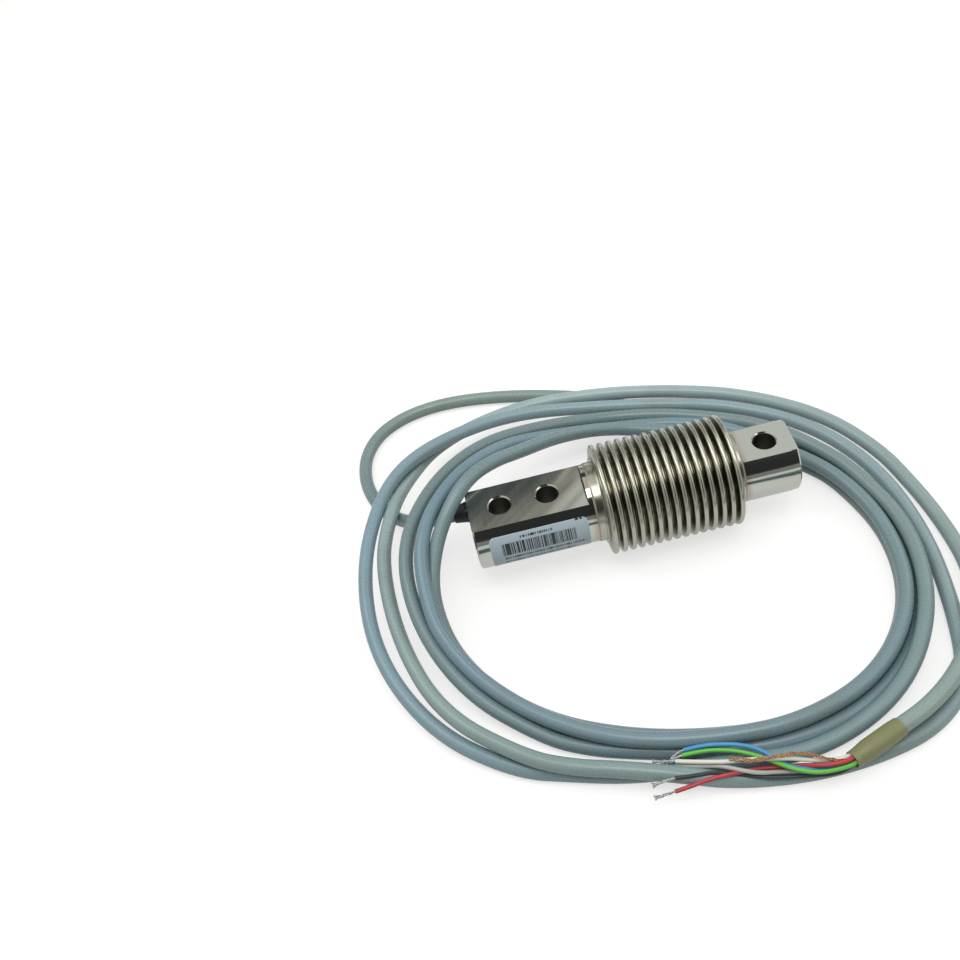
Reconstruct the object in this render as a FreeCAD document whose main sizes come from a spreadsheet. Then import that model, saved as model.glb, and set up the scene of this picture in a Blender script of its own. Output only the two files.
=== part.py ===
import FreeCAD, Part
import math
import os

import Sketcher

# Bending beam load cell: a stainless bar with a bellows round its bending section.
# The beam lies along X with its clamped end at -X, the mounting holes run along Z,
# and the bellows touches the ground plane z = 0. Millimetres throughout.

Vector = FreeCAD.Vector

# Driving dimensions, written to the sheet as alias and value.
SIZES = {
    # beam
    "clamped_end_length": 52.0,
    "bending_length": 44.0,
    "load_end_length": 26.0,
    "clamped_radius": 14.75,
    "load_step": 1.3,
    "clamped_land": 2.22,
    "load_land": 0.88,
    "flat_height": 10.8,
    "hole_radius": 4.1,
    "hole_chamfer": 0.5,
    "clamped_hole_edge": 12.0,
    "clamped_hole_spacing": 18.0,
    "load_hole_edge": 10.0,
    "end_chamfer": 0.6,
    "load_band_length": 2.6,
    "load_band_step": 0.2,
    # bending section
    "bending_width": 14.0,
    "bending_height": 17.0,
    "web_bore_radius": 5.5,
    "web_bore_spacing": 24.0,
    "web_slot_height": 3.0,
    # bellows
    "root_rise": 1.65,
    "fold_depth": 4.6,
    "bellows_wall": 0.35,
    "clamped_overlap": 3.38,
    "load_overlap": 3.02,
    "convolution_count": 15,
    "crest_width": 1.7,
    "clamped_cuff_length": 2.6,
    "load_cuff_length": 1.7,
    "weld_width": 0.7,
    # cable entry
    "entry_edge": 4.75,
    "bundle_radius": 2.0,
    "channel_clearance": 0.2,
    "bushing_wall": 0.45,
    "bushing_depth": 6.0,
    "bushing_flange": 1.4,
    "bushing_flange_rim": 0.5,
    "bushing_step": 2.0,
    "seal_wall": 0.4,
    "boot_length": 4.6,
    "boot_base_wall": 1.15,
    "boot_tip_wall": 0.45,
    # electrics under the bellows
    "gauge_length": 8.0,
    "gauge_width": 5.0,
    "gauge_thickness": 0.1,
    "board_length": 16.0,
    "board_height": 9.0,
    "board_thickness": 1.0,
    "resistor_length": 3.2,
    "resistor_height": 1.6,
    "resistor_thickness": 0.6,
    "resistor_offset": 3.2,
    # label
    "label_start": 5.0,
    "label_end_gap": 4.02,
    "label_low_edge": 0.4,
    "label_high_edge": 2.8,
    "label_corner": 2.0,
    "label_thickness": 0.12,
    # cable
    "cable_radius": 2.75,
    "coil_centre_y": -18.0,
    "sleeve_wall": 0.55,
    "sleeve_waist": 0.2,
    "sleeve_length": 19.2,
    "sleeve_ring_width": 1.6,
    "jacket_setback": 6.0,
    "mouth_clearance": 0.15,
    "core_radius": 0.65,
    "core_circle": 1.5,
    "core_lead": 2.8,
    "shield_radius": 0.6,
    "tip_radius": 0.45,
    "tip_length": 7.0,
}

# Lengths that follow from the driving dimensions.
DERIVED = {
    "beam_length": "(bending_end + load_end_length)",
    "bending_end": "(clamped_end_length + bending_length)",
    "bending_middle": "(clamped_end_length + bending_length / 2)",
    "load_radius": "(clamped_radius - load_step)",
    "left_root": "(clamped_end_length - clamped_overlap)",
    "right_root": "(bending_end + load_overlap)",
    "left_cuff": "(left_root - clamped_cuff_length)",
    "right_cuff": "(right_root + load_cuff_length)",
    "convolution_pitch": "((right_root - left_root) / convolution_count)",
    "first_crest": "(left_root + convolution_pitch / 2)",
    "bellows_root_radius": "(clamped_radius + root_rise)",
    "bellows_radius": "(bellows_root_radius + fold_depth)",
    "clamped_flat_end": "(left_cuff - clamped_land)",
    "load_flat_start": "(right_cuff + load_land)",
    "entry_offset": "(clamped_radius - entry_edge)",
    "channel_radius": "(bundle_radius + channel_clearance)",
    "seal_radius": "(cable_radius + seal_wall)",
    "bushing_radius": "(seal_radius + bushing_wall)",
    "label_length": "(left_cuff - label_end_gap - label_start)",
    "label_low": "(flat_height - label_low_edge)",
    "label_high": "(flat_height - label_high_edge)",
    "sleeve_radius": "(cable_radius + sleeve_wall)",
    "mouth_radius": "(core_circle + core_radius + mouth_clearance)",
}

# Route of the cable from the gland, under the coil, round outside it and into it.
LEAD_ROUTE = [
    (-67.0, 10.0, 21.0), (-74.0, 10.0, 21.0), (-82.3, 13.2, 18.0), (-89.6, 21.5, 11.2),
    (-96.2, 33.0, 5.4), (-101.0, 45.0, 3.2), (-103.3, 58.0, 2.8), (-101.8, 71.5, 2.8),
    (-95.0, 83.0, 2.8), (-83.5, 90.0, 2.8), (-70.5, 92.7, 2.8), (-57.0, 92.3, 2.8),
    (-43.5, 89.8, 2.8), (-30.5, 86.2, 2.8), (-17.5, 81.5, 2.8), (-4.5, 76.0, 2.8),
    (5.5, 71.2, 2.8),
]

# Route of the cable from the coil, round its right side and over it to the shrink sleeve.
TAIL_ROUTE = [
    (104.0, -14.0, 2.8), (105.7, -27.0, 2.8), (106.2, -40.0, 3.0), (105.0, -53.0, 4.6),
    (101.4, -65.5, 7.2), (95.4, -77.5, 8.8), (87.6, -88.3, 9.1), (78.0, -97.3, 9.1),
    (67.0, -104.1, 9.1), (56.3, -108.3, 9.1),
]

# The coil's outer shape: angle from +X, inner and outer radius, height of its underside
# at the inner and the outer edge, and thickness. It leans on the clamped end.
COIL_STATIONS = [
    (0.0, 82.5, 107.5, 0.0, 0.0, 9.0),
    (22.5, 75.0, 103.5, 0.0, 0.0, 9.0),
    (45.0, 70.0, 98.0, 0.0, 0.0, 9.0),
    (67.5, 65.5, 92.5, 0.5, 0.0, 10.0),
    (90.0, 60.0, 93.0, 8.6, 0.0, 10.0),
    (112.5, 57.0, 100.0, 19.3, 5.5, 7.0),
    (135.0, 61.0, 109.0, 27.5, 7.2, 6.0),
    (157.5, 72.0, 111.0, 29.5, 7.4, 6.0),
    (180.0, 76.0, 109.0, 22.5, 6.0, 7.0),
    (202.5, 79.0, 106.5, 8.0, 3.0, 8.0),
    (225.0, 72.5, 99.0, 0.0, 0.0, 8.0),
    (247.5, 71.0, 92.0, 0.0, 0.0, 5.6),
    (270.0, 73.0, 94.0, 0.0, 0.0, 5.6),
    (292.5, 80.0, 106.0, 0.0, 0.0, 5.6),
    (315.0, 86.5, 116.0, 0.0, 0.0, 5.6),
    (337.5, 87.0, 105.8, 0.0, 0.0, 5.6),
    (349.0, 85.0, 101.8, 0.0, 0.0, 7.0),
]

# Cores beyond the sleeve: place round the bundle in degrees, then the route to the tip.
CORE_ROUTES = {
    "blue": (340.0, [
        (30.0, -112.9, 7.1), (22.0, -110.8, 6.4), (15.5, -106.9, 6.4), (9.0, -102.0, 7.4),
        (2.5, -99.3, 8.2), (-4.5, -98.5, 7.8), (-11.0, -98.4, 7.2)]),
    "green": (160.0, [
        (30.0, -116.8, 9.0), (22.5, -114.0, 9.5), (16.5, -108.9, 9.1), (10.0, -104.7, 7.7),
        (3.5, -102.2, 6.6), (-4.0, -100.9, 6.4), (-11.2, -100.5, 6.4)]),
    "white": (40.0, [
        (30.0, -113.6, 10.6), (22.5, -110.4, 10.8), (15.5, -108.0, 10.6), (9.0, -106.4, 8.8),
        (2.5, -105.0, 6.8), (-5.0, -103.4, 6.4), (-13.0, -102.6, 6.5)]),
    "grey": (285.0, [
        (30.0, -114.6, 7.3), (22.0, -112.5, 6.4), (15.0, -111.4, 6.5), (9.0, -108.9, 6.4),
        (3.0, -107.0, 6.5), (-5.0, -105.4, 6.4), (-13.5, -104.7, 6.5)]),
    "black": (225.0, [
        (30.0, -116.0, 7.4), (22.0, -114.5, 6.4), (15.0, -113.4, 6.4), (9.0, -112.2, 6.8),
        (3.0, -110.8, 7.7), (-2.5, -109.0, 8.0), (-8.5, -107.7, 7.3), (-14.2, -107.4, 6.8)]),
    "red": (95.0, [
        (30.0, -115.4, 10.1), (22.0, -112.2, 8.0), (15.0, -111.0, 8.0), (9.0, -110.2, 7.8),
        (3.0, -109.2, 6.4), (-2.5, -109.7, 6.4), (-8.0, -111.4, 6.5), (-14.0, -113.8, 6.4)]),
}

# Shield strands, twisted together, from the middle of the bundle.
SHIELD_ROUTE = [
    (31.0, -114.6, 9.0), (26.0, -111.2, 9.2), (20.5, -108.2, 10.0), (15.0, -106.5, 10.4),
    (9.5, -105.0, 9.4), (3.0, -103.4, 8.3),
]

doc = FreeCAD.newDocument("load_cell")
sheet = doc.addObject("Spreadsheet::Sheet", "Sizes")
for row, (alias, value) in enumerate(SIZES.items(), start=1):
    sheet.set("A%d" % row, alias)
    sheet.set("B%d" % row, str(value))
    sheet.setAlias("B%d" % row, alias)
doc.recompute()

parts = []


def size(alias):
    """Value of a driving dimension, read from the sheet."""
    return float(sheet.get(alias))


def formula(text):
    """Formula over the sheet: derived lengths are written out, aliases get the sheet's name."""
    words = text.replace("(", " ( ").replace(")", " ) ").split()
    words = [formula(DERIVED[word]) if word in DERIVED else word for word in words]
    return " ".join("Sizes." + word if word in SIZES else word for word in words)


def bind(target, prop, text):
    """Tie one property of an object to a formula over the sheet."""
    target.setExpression(prop, formula(text))


def on_beam(piece, along="0", across="0", up="0"):
    """Place a piece by its distance from the clamped end face, sideways and above the axis."""
    bind(piece, "Placement.Base.x", "%s - beam_length / 2" % along)
    bind(piece, "Placement.Base.y", across)
    bind(piece, "Placement.Base.z", "%s + bellows_radius" % up)


def keep(piece, label):
    """Name a finished sub-part and list it for export."""
    piece.Label = label
    parts.append(piece)
    return piece


# Sketching helpers


def new_body(label):
    """Body of one sub-part."""
    body = doc.addObject("PartDesign::Body", label)
    return keep(body, label)


def new_sketch(body, name, role, offset=None):
    """Sketch on one of the body's own origin planes, moved along its normal if asked."""
    sketch = body.newObject("Sketcher::SketchObject", name)
    plane = [p for p in body.Origin.OriginFeatures if p.Role == role][0]
    sketch.AttachmentSupport = [(plane, "")]
    sketch.MapMode = "FlatFace"
    if offset:
        bind(sketch, "AttachmentOffset.Base.z", offset)
    return sketch


def pin(sketch, edge, point, rough, across, up):
    """Hold a sketch point at two coordinates given as formulas."""
    for kind, value, text in (("DistanceX", rough.x, across), ("DistanceY", rough.y, up)):
        index = sketch.addConstraint(Sketcher.Constraint(kind, -1, 1, edge, point, value))
        bind(sketch, "Constraints[%d]" % index, text)


def outline(sketch, corners):
    """Closed outline of straight edges through corners given as pairs of formulas."""
    count = len(corners)
    first = sketch.GeometryCount
    turn = 2 * math.pi / count
    rough = [Vector(50 * math.cos(turn * i), 50 * math.sin(turn * i), 0) for i in range(count)]
    for i in range(count):
        sketch.addGeometry(Part.LineSegment(rough[i], rough[(i + 1) % count]))
    for i in range(count):
        following = first + (i + 1) % count
        sketch.addConstraint(Sketcher.Constraint("Coincident", first + i, 2, following, 1))
    for i, (across, up) in enumerate(corners):
        pin(sketch, first + i, 1, rough[i], across, up)


def circle(sketch, across, up, radius):
    """Circle with its centre and radius given as formulas."""
    centre = Vector(5, 5, 0)
    edge = sketch.addGeometry(Part.Circle(centre, Vector(0, 0, 1), 1))
    pin(sketch, edge, 3, centre, across, up)
    index = sketch.addConstraint(Sketcher.Constraint("Radius", edge, 1))
    bind(sketch, "Constraints[%d]" % index, radius)


def revolve(body, name, sketch):
    """Full turn of a sketch about its horizontal axis, the line of the beam."""
    feature = body.newObject("PartDesign::Revolution", name)
    feature.Profile = sketch
    feature.ReferenceAxis = (sketch, ["H_Axis"])
    feature.Angle = 360
    sketch.Visibility = False
    return feature


def cut_through(body, name, sketch):
    """Pocket right through the body on both sides of its sketch."""
    feature = body.newObject("PartDesign::Pocket", name)
    feature.Profile = sketch
    feature.Type = "ThroughAll"
    feature.Midplane = True
    return feature


def cut_to(body, name, sketch, depth):
    """Pocket to a depth on the side the sketch's normal points to."""
    feature = body.newObject("PartDesign::Pocket", name)
    feature.Profile = sketch
    feature.Reversed = True
    bind(feature, "Length", depth)
    return feature


# Cord helpers


def rounded_path(points, label):
    """Straight runs joined by tangent arcs, each as large as its two runs allow."""
    places = [Vector(*p) for p in points]
    edges = []
    radii = []
    start = places[0]
    for before, here, after in zip(places, places[1:], places[2:]):
        back = before - here
        onward = after - here
        reach = 0.45 * min(back.Length, onward.Length)
        half_turn = (math.pi - back.getAngle(onward)) / 2
        radius = reach / math.tan(half_turn)
        back.normalize()
        onward.normalize()
        bisector = back + onward
        bisector.normalize()
        centre = here + bisector * (radius / math.cos(half_turn))
        arc_start = here + back * reach
        arc_end = here + onward * reach
        edges.append(Part.LineSegment(start, arc_start).toShape())
        edges.append(Part.Arc(arc_start, centre - bisector * radius, arc_end).toShape())
        radii.append(radius)
        start = arc_end
    edges.append(Part.LineSegment(start, places[-1]).toShape())
    path = Part.Wire(edges)
    print("%s: length %.1f mm, smallest radius %.1f mm" % (label, path.Length, min(radii)))
    return path


def tube(points, radius, label):
    """Solid round cord along a route."""
    path = rounded_path(points, label)
    start = Vector(*points[0])
    heading = Vector(*points[1]) - start
    section = Part.Wire(Part.makeCircle(radius, start, heading))
    solid = path.makePipeShell([section], True, False)
    expected = math.pi * radius * radius * path.Length
    print("%s: volume %.4f of section times length" % (label, solid.Volume / expected))
    feature = doc.addObject("Part::Feature", label + "_tube")
    feature.Shape = solid
    return feature


def coil_section(angle, inner, outer, inner_height, outer_height, thickness):
    """Closed outline of the coil at one angle, with its four corners cut."""
    corner = thickness / 4
    slope = (outer_height - inner_height) / (outer - inner)
    profile = [
        (inner + corner, 0), (outer - corner, 0), (outer, corner), (outer, thickness - corner),
        (outer - corner, thickness), (inner + corner, thickness), (inner, thickness - corner),
        (inner, corner),
    ]
    turn = math.radians(angle)
    places = []
    for radius, rise in profile:
        height = inner_height + slope * (radius - inner) + rise
        x = radius * math.cos(turn)
        y = radius * math.sin(turn) + size("coil_centre_y")
        places.append(Vector(x, y, height))
    return Part.makePolygon(places + places[:1])


# Beam: turned bar, flats milled at both ends, bending section milled in the middle

beam = new_body("beam_body")
turned = new_sketch(beam, "turned_profile", "XZ_Plane")
outline(turned, [
    ("0", "0"),
    ("0", "clamped_radius - end_chamfer"),
    ("end_chamfer", "clamped_radius"),
    ("clamped_end_length", "clamped_radius"),
    ("clamped_end_length", "load_radius - load_band_step"),
    ("bending_end", "load_radius - load_band_step"),
    ("bending_end", "load_radius"),
    ("beam_length - load_band_length", "load_radius"),
    ("beam_length - load_band_length", "load_radius - load_band_step"),
    ("beam_length - end_chamfer", "load_radius - load_band_step"),
    ("beam_length", "load_radius - load_band_step - end_chamfer"),
    ("beam_length", "0"),
])
revolve(beam, "turned_bar", turned)

flats = new_sketch(beam, "end_flats", "XZ_Plane")
for low, high in (("flat_height", "2 * clamped_radius"),
                  ("0 - 2 * clamped_radius", "0 - flat_height")):
    outline(flats, [
        ("-1", low), ("clamped_flat_end", low), ("clamped_flat_end", high), ("-1", high)])
    outline(flats, [
        ("load_flat_start", low), ("beam_length + 1", low),
        ("beam_length + 1", high), ("load_flat_start", high)])
cut_through(beam, "milled_flats", flats)

bending = new_sketch(beam, "bending_outline", "YZ_Plane", "clamped_end_length")
circle(bending, "0", "0", "2 * clamped_radius")
outline(bending, [
    ("0 - bending_width / 2", "0 - bending_height / 2"),
    ("bending_width / 2", "0 - bending_height / 2"),
    ("bending_width / 2", "bending_height / 2"),
    ("0 - bending_width / 2", "bending_height / 2"),
])
cut_to(beam, "milled_bending_section", bending, "bending_length")

webs = new_sketch(beam, "web_bores", "XZ_Plane")
for side in ("-", "+"):
    circle(webs, "bending_middle %s web_bore_spacing / 2" % side, "0", "web_bore_radius")
cut_through(beam, "drilled_web_bores", webs)

slot = new_sketch(beam, "web_slot", "XZ_Plane")
outline(slot, [
    ("bending_middle - web_bore_spacing / 2", "0 - web_slot_height / 2"),
    ("bending_middle + web_bore_spacing / 2", "0 - web_slot_height / 2"),
    ("bending_middle + web_bore_spacing / 2", "web_slot_height / 2"),
    ("bending_middle - web_bore_spacing / 2", "web_slot_height / 2"),
])
cut_through(beam, "sawn_web_slot", slot)

holes = new_sketch(beam, "mounting_holes", "XY_Plane")
circle(holes, "clamped_hole_edge", "0", "hole_radius")
circle(holes, "clamped_hole_edge + clamped_hole_spacing", "0", "hole_radius")
circle(holes, "beam_length - load_hole_edge", "0", "hole_radius")
cut_through(beam, "drilled_holes", holes)

channel = new_sketch(beam, "cable_channel", "YZ_Plane")
circle(channel, "entry_offset", "0", "channel_radius")
cut_to(beam, "drilled_channel", channel, "clamped_end_length")

counterbore = new_sketch(beam, "bushing_seat", "YZ_Plane")
circle(counterbore, "entry_offset", "0", "bushing_radius")
cut_to(beam, "bored_bushing_seat", counterbore, "bushing_depth")
doc.recompute()


def hole_rims(shape):
    """Names of the rims of the mounting holes on the flats."""
    names = []
    for number, edge in enumerate(shape.Edges, start=1):
        is_circle = isinstance(edge.Curve, Part.Circle)
        if is_circle and abs(edge.Curve.Radius - size("hole_radius")) < 1e-6:
            if abs(abs(edge.CenterOfMass.z) - size("flat_height")) < 1e-6:
                names.append("Edge%d" % number)
    return names


bored = beam.Tip
rims = beam.newObject("PartDesign::Chamfer", "hole_chamfers")
rims.Base = (bored, hole_rims(bored.Shape))
bind(rims, "Size", "hole_chamfer")
on_beam(beam)

# Bellows: one convolution repeated along the beam over a plain bore, with a cuff at each end

bellows = new_body("bellows")
fold = new_sketch(bellows, "convolution_profile", "XZ_Plane")
outline(fold, [
    ("left_root", "bellows_root_radius"),
    ("first_crest - crest_width / 2", "bellows_radius"),
    ("first_crest + crest_width / 2", "bellows_radius"),
    ("left_root + convolution_pitch", "bellows_root_radius"),
    ("left_root + convolution_pitch", "bellows_root_radius - bellows_wall"),
    ("left_root", "bellows_root_radius - bellows_wall"),
])
convolution = revolve(bellows, "convolution", fold)

rows = bellows.newObject("PartDesign::LinearPattern", "convolutions")
rows.Originals = [convolution]
rows.Direction = (fold, ["H_Axis"])
bind(rows, "Length", "convolution_pitch * (convolution_count - 1)")
bind(rows, "Occurrences", "convolution_count")
bellows.Tip = rows

clamped_cuff = new_sketch(bellows, "clamped_cuff_profile", "XZ_Plane")
outline(clamped_cuff, [
    ("left_cuff", "clamped_radius"),
    ("left_root", "clamped_radius"),
    ("left_root", "bellows_root_radius"),
    ("left_root - bellows_wall", "bellows_root_radius"),
    ("left_root - bellows_wall", "clamped_radius + bellows_wall"),
    ("left_cuff", "clamped_radius + bellows_wall"),
])
revolve(bellows, "clamped_cuff", clamped_cuff)

load_cuff = new_sketch(bellows, "load_cuff_profile", "XZ_Plane")
outline(load_cuff, [
    ("right_root", "load_radius"),
    ("right_cuff", "load_radius"),
    ("right_cuff", "load_radius + bellows_wall"),
    ("right_root + bellows_wall", "load_radius + bellows_wall"),
    ("right_root + bellows_wall", "bellows_root_radius"),
    ("right_root", "bellows_root_radius"),
])
revolve(bellows, "load_cuff", load_cuff)
on_beam(bellows)

# Weld beads that close the cuffs to the beam

WELDS = {
    "clamped": ("left_cuff", "-", "clamped_radius"),
    "load": ("right_cuff", "+", "load_radius"),
}
for end, (face, side, seat) in WELDS.items():
    bead = new_body("weld_bead_" + end)
    section = new_sketch(bead, "bead_profile_" + end, "XZ_Plane")
    outline(section, [
        (face, seat),
        ("%s %s weld_width" % (face, side), seat),
        (face, seat + " + bellows_wall"),
    ])
    revolve(bead, "bead_" + end, section)
    on_beam(bead)

# Cable entry in the clamped end face: bushing, seal, boot and the cable inside them

bushing = new_body("gland_bushing")
profile = new_sketch(bushing, "bushing_profile", "XZ_Plane")
outline(profile, [
    ("0 - bushing_flange", "cable_radius"),
    ("bushing_step", "cable_radius"),
    ("bushing_step", "seal_radius"),
    ("bushing_depth", "seal_radius"),
    ("bushing_depth", "bushing_radius"),
    ("0", "bushing_radius"),
    ("0", "bushing_radius + bushing_flange_rim"),
    ("0 - bushing_flange", "bushing_radius + bushing_flange_rim"),
])
revolve(bushing, "turned_bushing", profile)
on_beam(bushing, across="entry_offset")

seal = new_body("gland_seal")
profile = new_sketch(seal, "seal_profile", "XZ_Plane")
outline(profile, [
    ("bushing_step", "cable_radius"),
    ("bushing_depth", "cable_radius"),
    ("bushing_depth", "seal_radius"),
    ("bushing_step", "seal_radius"),
])
revolve(seal, "moulded_seal", profile)
on_beam(seal, across="entry_offset")

boot = new_body("gland_boot")
profile = new_sketch(boot, "boot_profile", "XZ_Plane")
outline(profile, [
    ("0 - bushing_flange - boot_length", "cable_radius"),
    ("0 - bushing_flange", "cable_radius"),
    ("0 - bushing_flange", "cable_radius + boot_base_wall"),
    ("0 - bushing_flange - boot_length", "cable_radius + boot_tip_wall"),
])
revolve(boot, "moulded_boot", profile)
on_beam(boot, across="entry_offset")


def along_beam(label, radius, start, end, across):
    """Round piece parallel to the beam between two distances from the clamped end face."""
    piece = doc.addObject("Part::Cylinder", label)
    bind(piece, "Radius", radius)
    bind(piece, "Height", "%s - (%s)" % (end, start))
    piece.Placement.Rotation = FreeCAD.Rotation(Vector(0, 1, 0), 90)
    on_beam(piece, start, across)
    return keep(piece, label)


along_beam("cable_entry", "cable_radius", "0 - bushing_flange - boot_length", "bushing_depth",
           "entry_offset")
along_beam("core_bundle", "bundle_radius", "bushing_depth", "clamped_end_length", "entry_offset")


# Strain gauges on the webs, and the trimming board beside them


def block(label, length, width, height, along, across, up):
    """Rectangular piece placed by its corner nearest the clamped end."""
    piece = doc.addObject("Part::Box", label)
    bind(piece, "Length", length)
    bind(piece, "Width", width)
    bind(piece, "Height", height)
    on_beam(piece, along, across, up)
    return keep(piece, label)


for end, side in (("clamped", "-"), ("load", "+")):
    start = "bending_middle %s web_bore_spacing / 2 - gauge_length / 2" % side
    for face, up in (("top", "bending_height / 2"),
                     ("bottom", "0 - bending_height / 2 - gauge_thickness")):
        block("gauge_%s_%s" % (face, end), "gauge_length", "gauge_width", "gauge_thickness",
              start, "0 - gauge_width / 2", up)

block("trim_board", "board_length", "board_thickness", "board_height",
      "bending_middle - board_length / 2", "bending_width / 2", "0 - board_height / 2")
for name, up in (("upper", "resistor_offset - resistor_height / 2"),
                 ("lower", "0 - resistor_offset - resistor_height / 2")):
    block("trim_resistor_" + name, "resistor_length", "resistor_thickness", "resistor_height",
          "bending_middle - resistor_length / 2", "bending_width / 2 + board_thickness", up)

# Label wrapped on the side of the clamped end

wrap = doc.addObject("Part::Cylinder", "label_wrap")
bind(wrap, "Radius", "clamped_radius + label_thickness")
core = doc.addObject("Part::Cylinder", "label_core")
bind(core, "Radius", "clamped_radius")
for piece in (wrap, core):
    bind(piece, "Height", "label_start + label_length + 1")
    piece.Placement.Rotation = FreeCAD.Rotation(Vector(0, 1, 0), 90)
    on_beam(piece)
film = doc.addObject("Part::Cut", "label_film")
film.Base = wrap
film.Tool = core
patch = doc.addObject("Part::Box", "label_patch")
bind(patch, "Length", "label_length")
bind(patch, "Width", "2 * clamped_radius")
bind(patch, "Height", "label_low + label_high")
on_beam(patch, "label_start", "0 - 2 * clamped_radius", "0 - label_low")
doc.recompute()
rounded = doc.addObject("Part::Fillet", "label_outline")
rounded.Base = patch
corners = [n for n, edge in enumerate(patch.Shape.Edges, start=1)
           if abs(edge.tangentAt(edge.FirstParameter).y) > 0.5]
corner_radius = size("label_corner")
rounded.Edges = [(n, corner_radius, corner_radius) for n in corners]
label = doc.addObject("Part::Common", "label_sheet")
label.Base = film
label.Tool = rounded
keep(label, "label_sheet")

# Cable: one plain solid for the coil, and the loose stretches cut where they join it

coil = doc.addObject("Part::Feature", "cable_coil")
coil.Shape = Part.makeLoft([coil_section(*station) for station in COIL_STATIONS], True, True, True)
keep(coil, "cable_coil")

for name, route in (("cable_lead", LEAD_ROUTE), ("cable_tail", TAIL_ROUTE)):
    stretch = doc.addObject("Part::Cut", name)
    stretch.Base = tube(route, size("cable_radius"), name)
    stretch.Tool = coil
    keep(stretch, name)

# Shrink sleeve over the end of the jacket

sleeve_start = Vector(*TAIL_ROUTE[-1])
sleeve_heading = sleeve_start - Vector(*TAIL_ROUTE[-2])
sleeve_heading.normalize()
sleeve_turn = FreeCAD.Rotation(Vector(1, 0, 0), sleeve_heading)

sleeve = new_body("shrink_sleeve")
profile = new_sketch(sleeve, "sleeve_profile", "XZ_Plane")
outline(profile, [
    ("0", "cable_radius"),
    ("sleeve_length - jacket_setback", "cable_radius"),
    ("sleeve_length - sleeve_ring_width", "mouth_radius"),
    ("sleeve_length", "mouth_radius"),
    ("sleeve_length", "mouth_radius + sleeve_wall"),
    ("sleeve_length - sleeve_ring_width", "mouth_radius + sleeve_wall"),
    ("sleeve_length - jacket_setback", "sleeve_radius"),
    ("2 * sleeve_ring_width", "sleeve_radius"),
    ("0", "sleeve_radius - sleeve_waist"),
])
revolve(sleeve, "shrunk_sleeve", profile)
sleeve.Placement = FreeCAD.Placement(sleeve_start, sleeve_turn)

jacket_end = doc.addObject("Part::Cylinder", "cable_end")
bind(jacket_end, "Radius", "cable_radius")
bind(jacket_end, "Height", "sleeve_length - jacket_setback")
upright = FreeCAD.Rotation(Vector(0, 0, 1), sleeve_heading)
jacket_end.Placement = FreeCAD.Placement(sleeve_start, upright)
keep(jacket_end, "cable_end")

# Cores fanned out of the sleeve, their tinned tips, and the shield strands

bundle_start = sleeve_start + sleeve_heading * (size("sleeve_length") - size("jacket_setback"))
fan_start = sleeve_start + sleeve_heading * (size("sleeve_length") + size("core_lead"))
sideways = Vector(0, 0, 1).cross(sleeve_heading)
for colour, (angle, route) in CORE_ROUTES.items():
    turn = math.radians(angle)
    offset = Vector(0, 0, math.sin(turn)) - sideways * math.cos(turn)
    offset = offset * size("core_circle")
    points = [tuple(bundle_start + offset), tuple(fan_start + offset)] + route
    core = tube(points, size("core_radius"), "core_" + colour)
    keep(core, "core_" + colour)
    tip = doc.addObject("Part::Cylinder", "tip_" + colour)
    bind(tip, "Radius", "tip_radius")
    bind(tip, "Height", "tip_length")
    end = Vector(*route[-1])
    heading = end - Vector(*route[-2])
    tip.Placement = FreeCAD.Placement(end, FreeCAD.Rotation(Vector(0, 0, 1), heading))
    keep(tip, "tip_" + colour)

shield_points = [tuple(bundle_start), tuple(fan_start)] + SHIELD_ROUTE
keep(tube(shield_points, size("shield_radius"), "shield_strands"), "shield_strands")

# Check every object, then write each sub-part

doc.recompute()
for thing in doc.Objects:
    for state in ("Invalid", "Error"):
        if state in thing.State:
            raise RuntimeError("%s is %s" % (thing.Label, state))
os.makedirs("parts", exist_ok=True)
for piece in parts:
    shape = piece.Shape
    if shape.isNull() or not shape.isValid() or len(shape.Solids) != 1:
        raise RuntimeError("%s has no single valid solid" % piece.Label)
for piece in parts:
    piece.Shape.exportStep(os.path.join("parts", piece.Label + ".step"))
    print("%s: %.1f mm3" % (piece.Label, piece.Shape.Volume))
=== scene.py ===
"""Looks of a bending beam load cell with its coiled signal cable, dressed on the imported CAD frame."""
from __future__ import annotations

import logging
import math
from dataclasses import dataclass, field
from enum import Enum
from itertools import accumulate
from typing import Any, Mapping, Sequence

import bmesh
import bpy
from mathutils import Matrix, Vector

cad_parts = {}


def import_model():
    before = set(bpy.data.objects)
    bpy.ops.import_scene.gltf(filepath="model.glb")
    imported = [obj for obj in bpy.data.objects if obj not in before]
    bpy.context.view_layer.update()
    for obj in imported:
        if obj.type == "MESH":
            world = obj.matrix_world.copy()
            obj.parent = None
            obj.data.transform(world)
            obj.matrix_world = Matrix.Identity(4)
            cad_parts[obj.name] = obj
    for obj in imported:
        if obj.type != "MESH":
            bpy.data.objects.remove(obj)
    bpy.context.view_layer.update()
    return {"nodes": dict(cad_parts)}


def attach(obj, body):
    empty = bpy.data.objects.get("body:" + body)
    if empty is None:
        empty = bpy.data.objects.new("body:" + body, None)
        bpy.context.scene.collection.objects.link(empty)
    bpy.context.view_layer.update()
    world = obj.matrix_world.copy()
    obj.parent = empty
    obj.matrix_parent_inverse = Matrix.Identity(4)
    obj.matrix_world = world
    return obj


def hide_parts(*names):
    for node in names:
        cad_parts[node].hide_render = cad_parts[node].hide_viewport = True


LOG = logging.getLogger("load_cell")
MM = 0.001
Pair = tuple[float, float]
Point = tuple[float, float, float]
Stops = tuple[tuple[float, str], ...]
Tree = bpy.types.NodeTree
Node = bpy.types.Node
Piece = bpy.types.Object
Socket = bpy.types.NodeSocket


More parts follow.
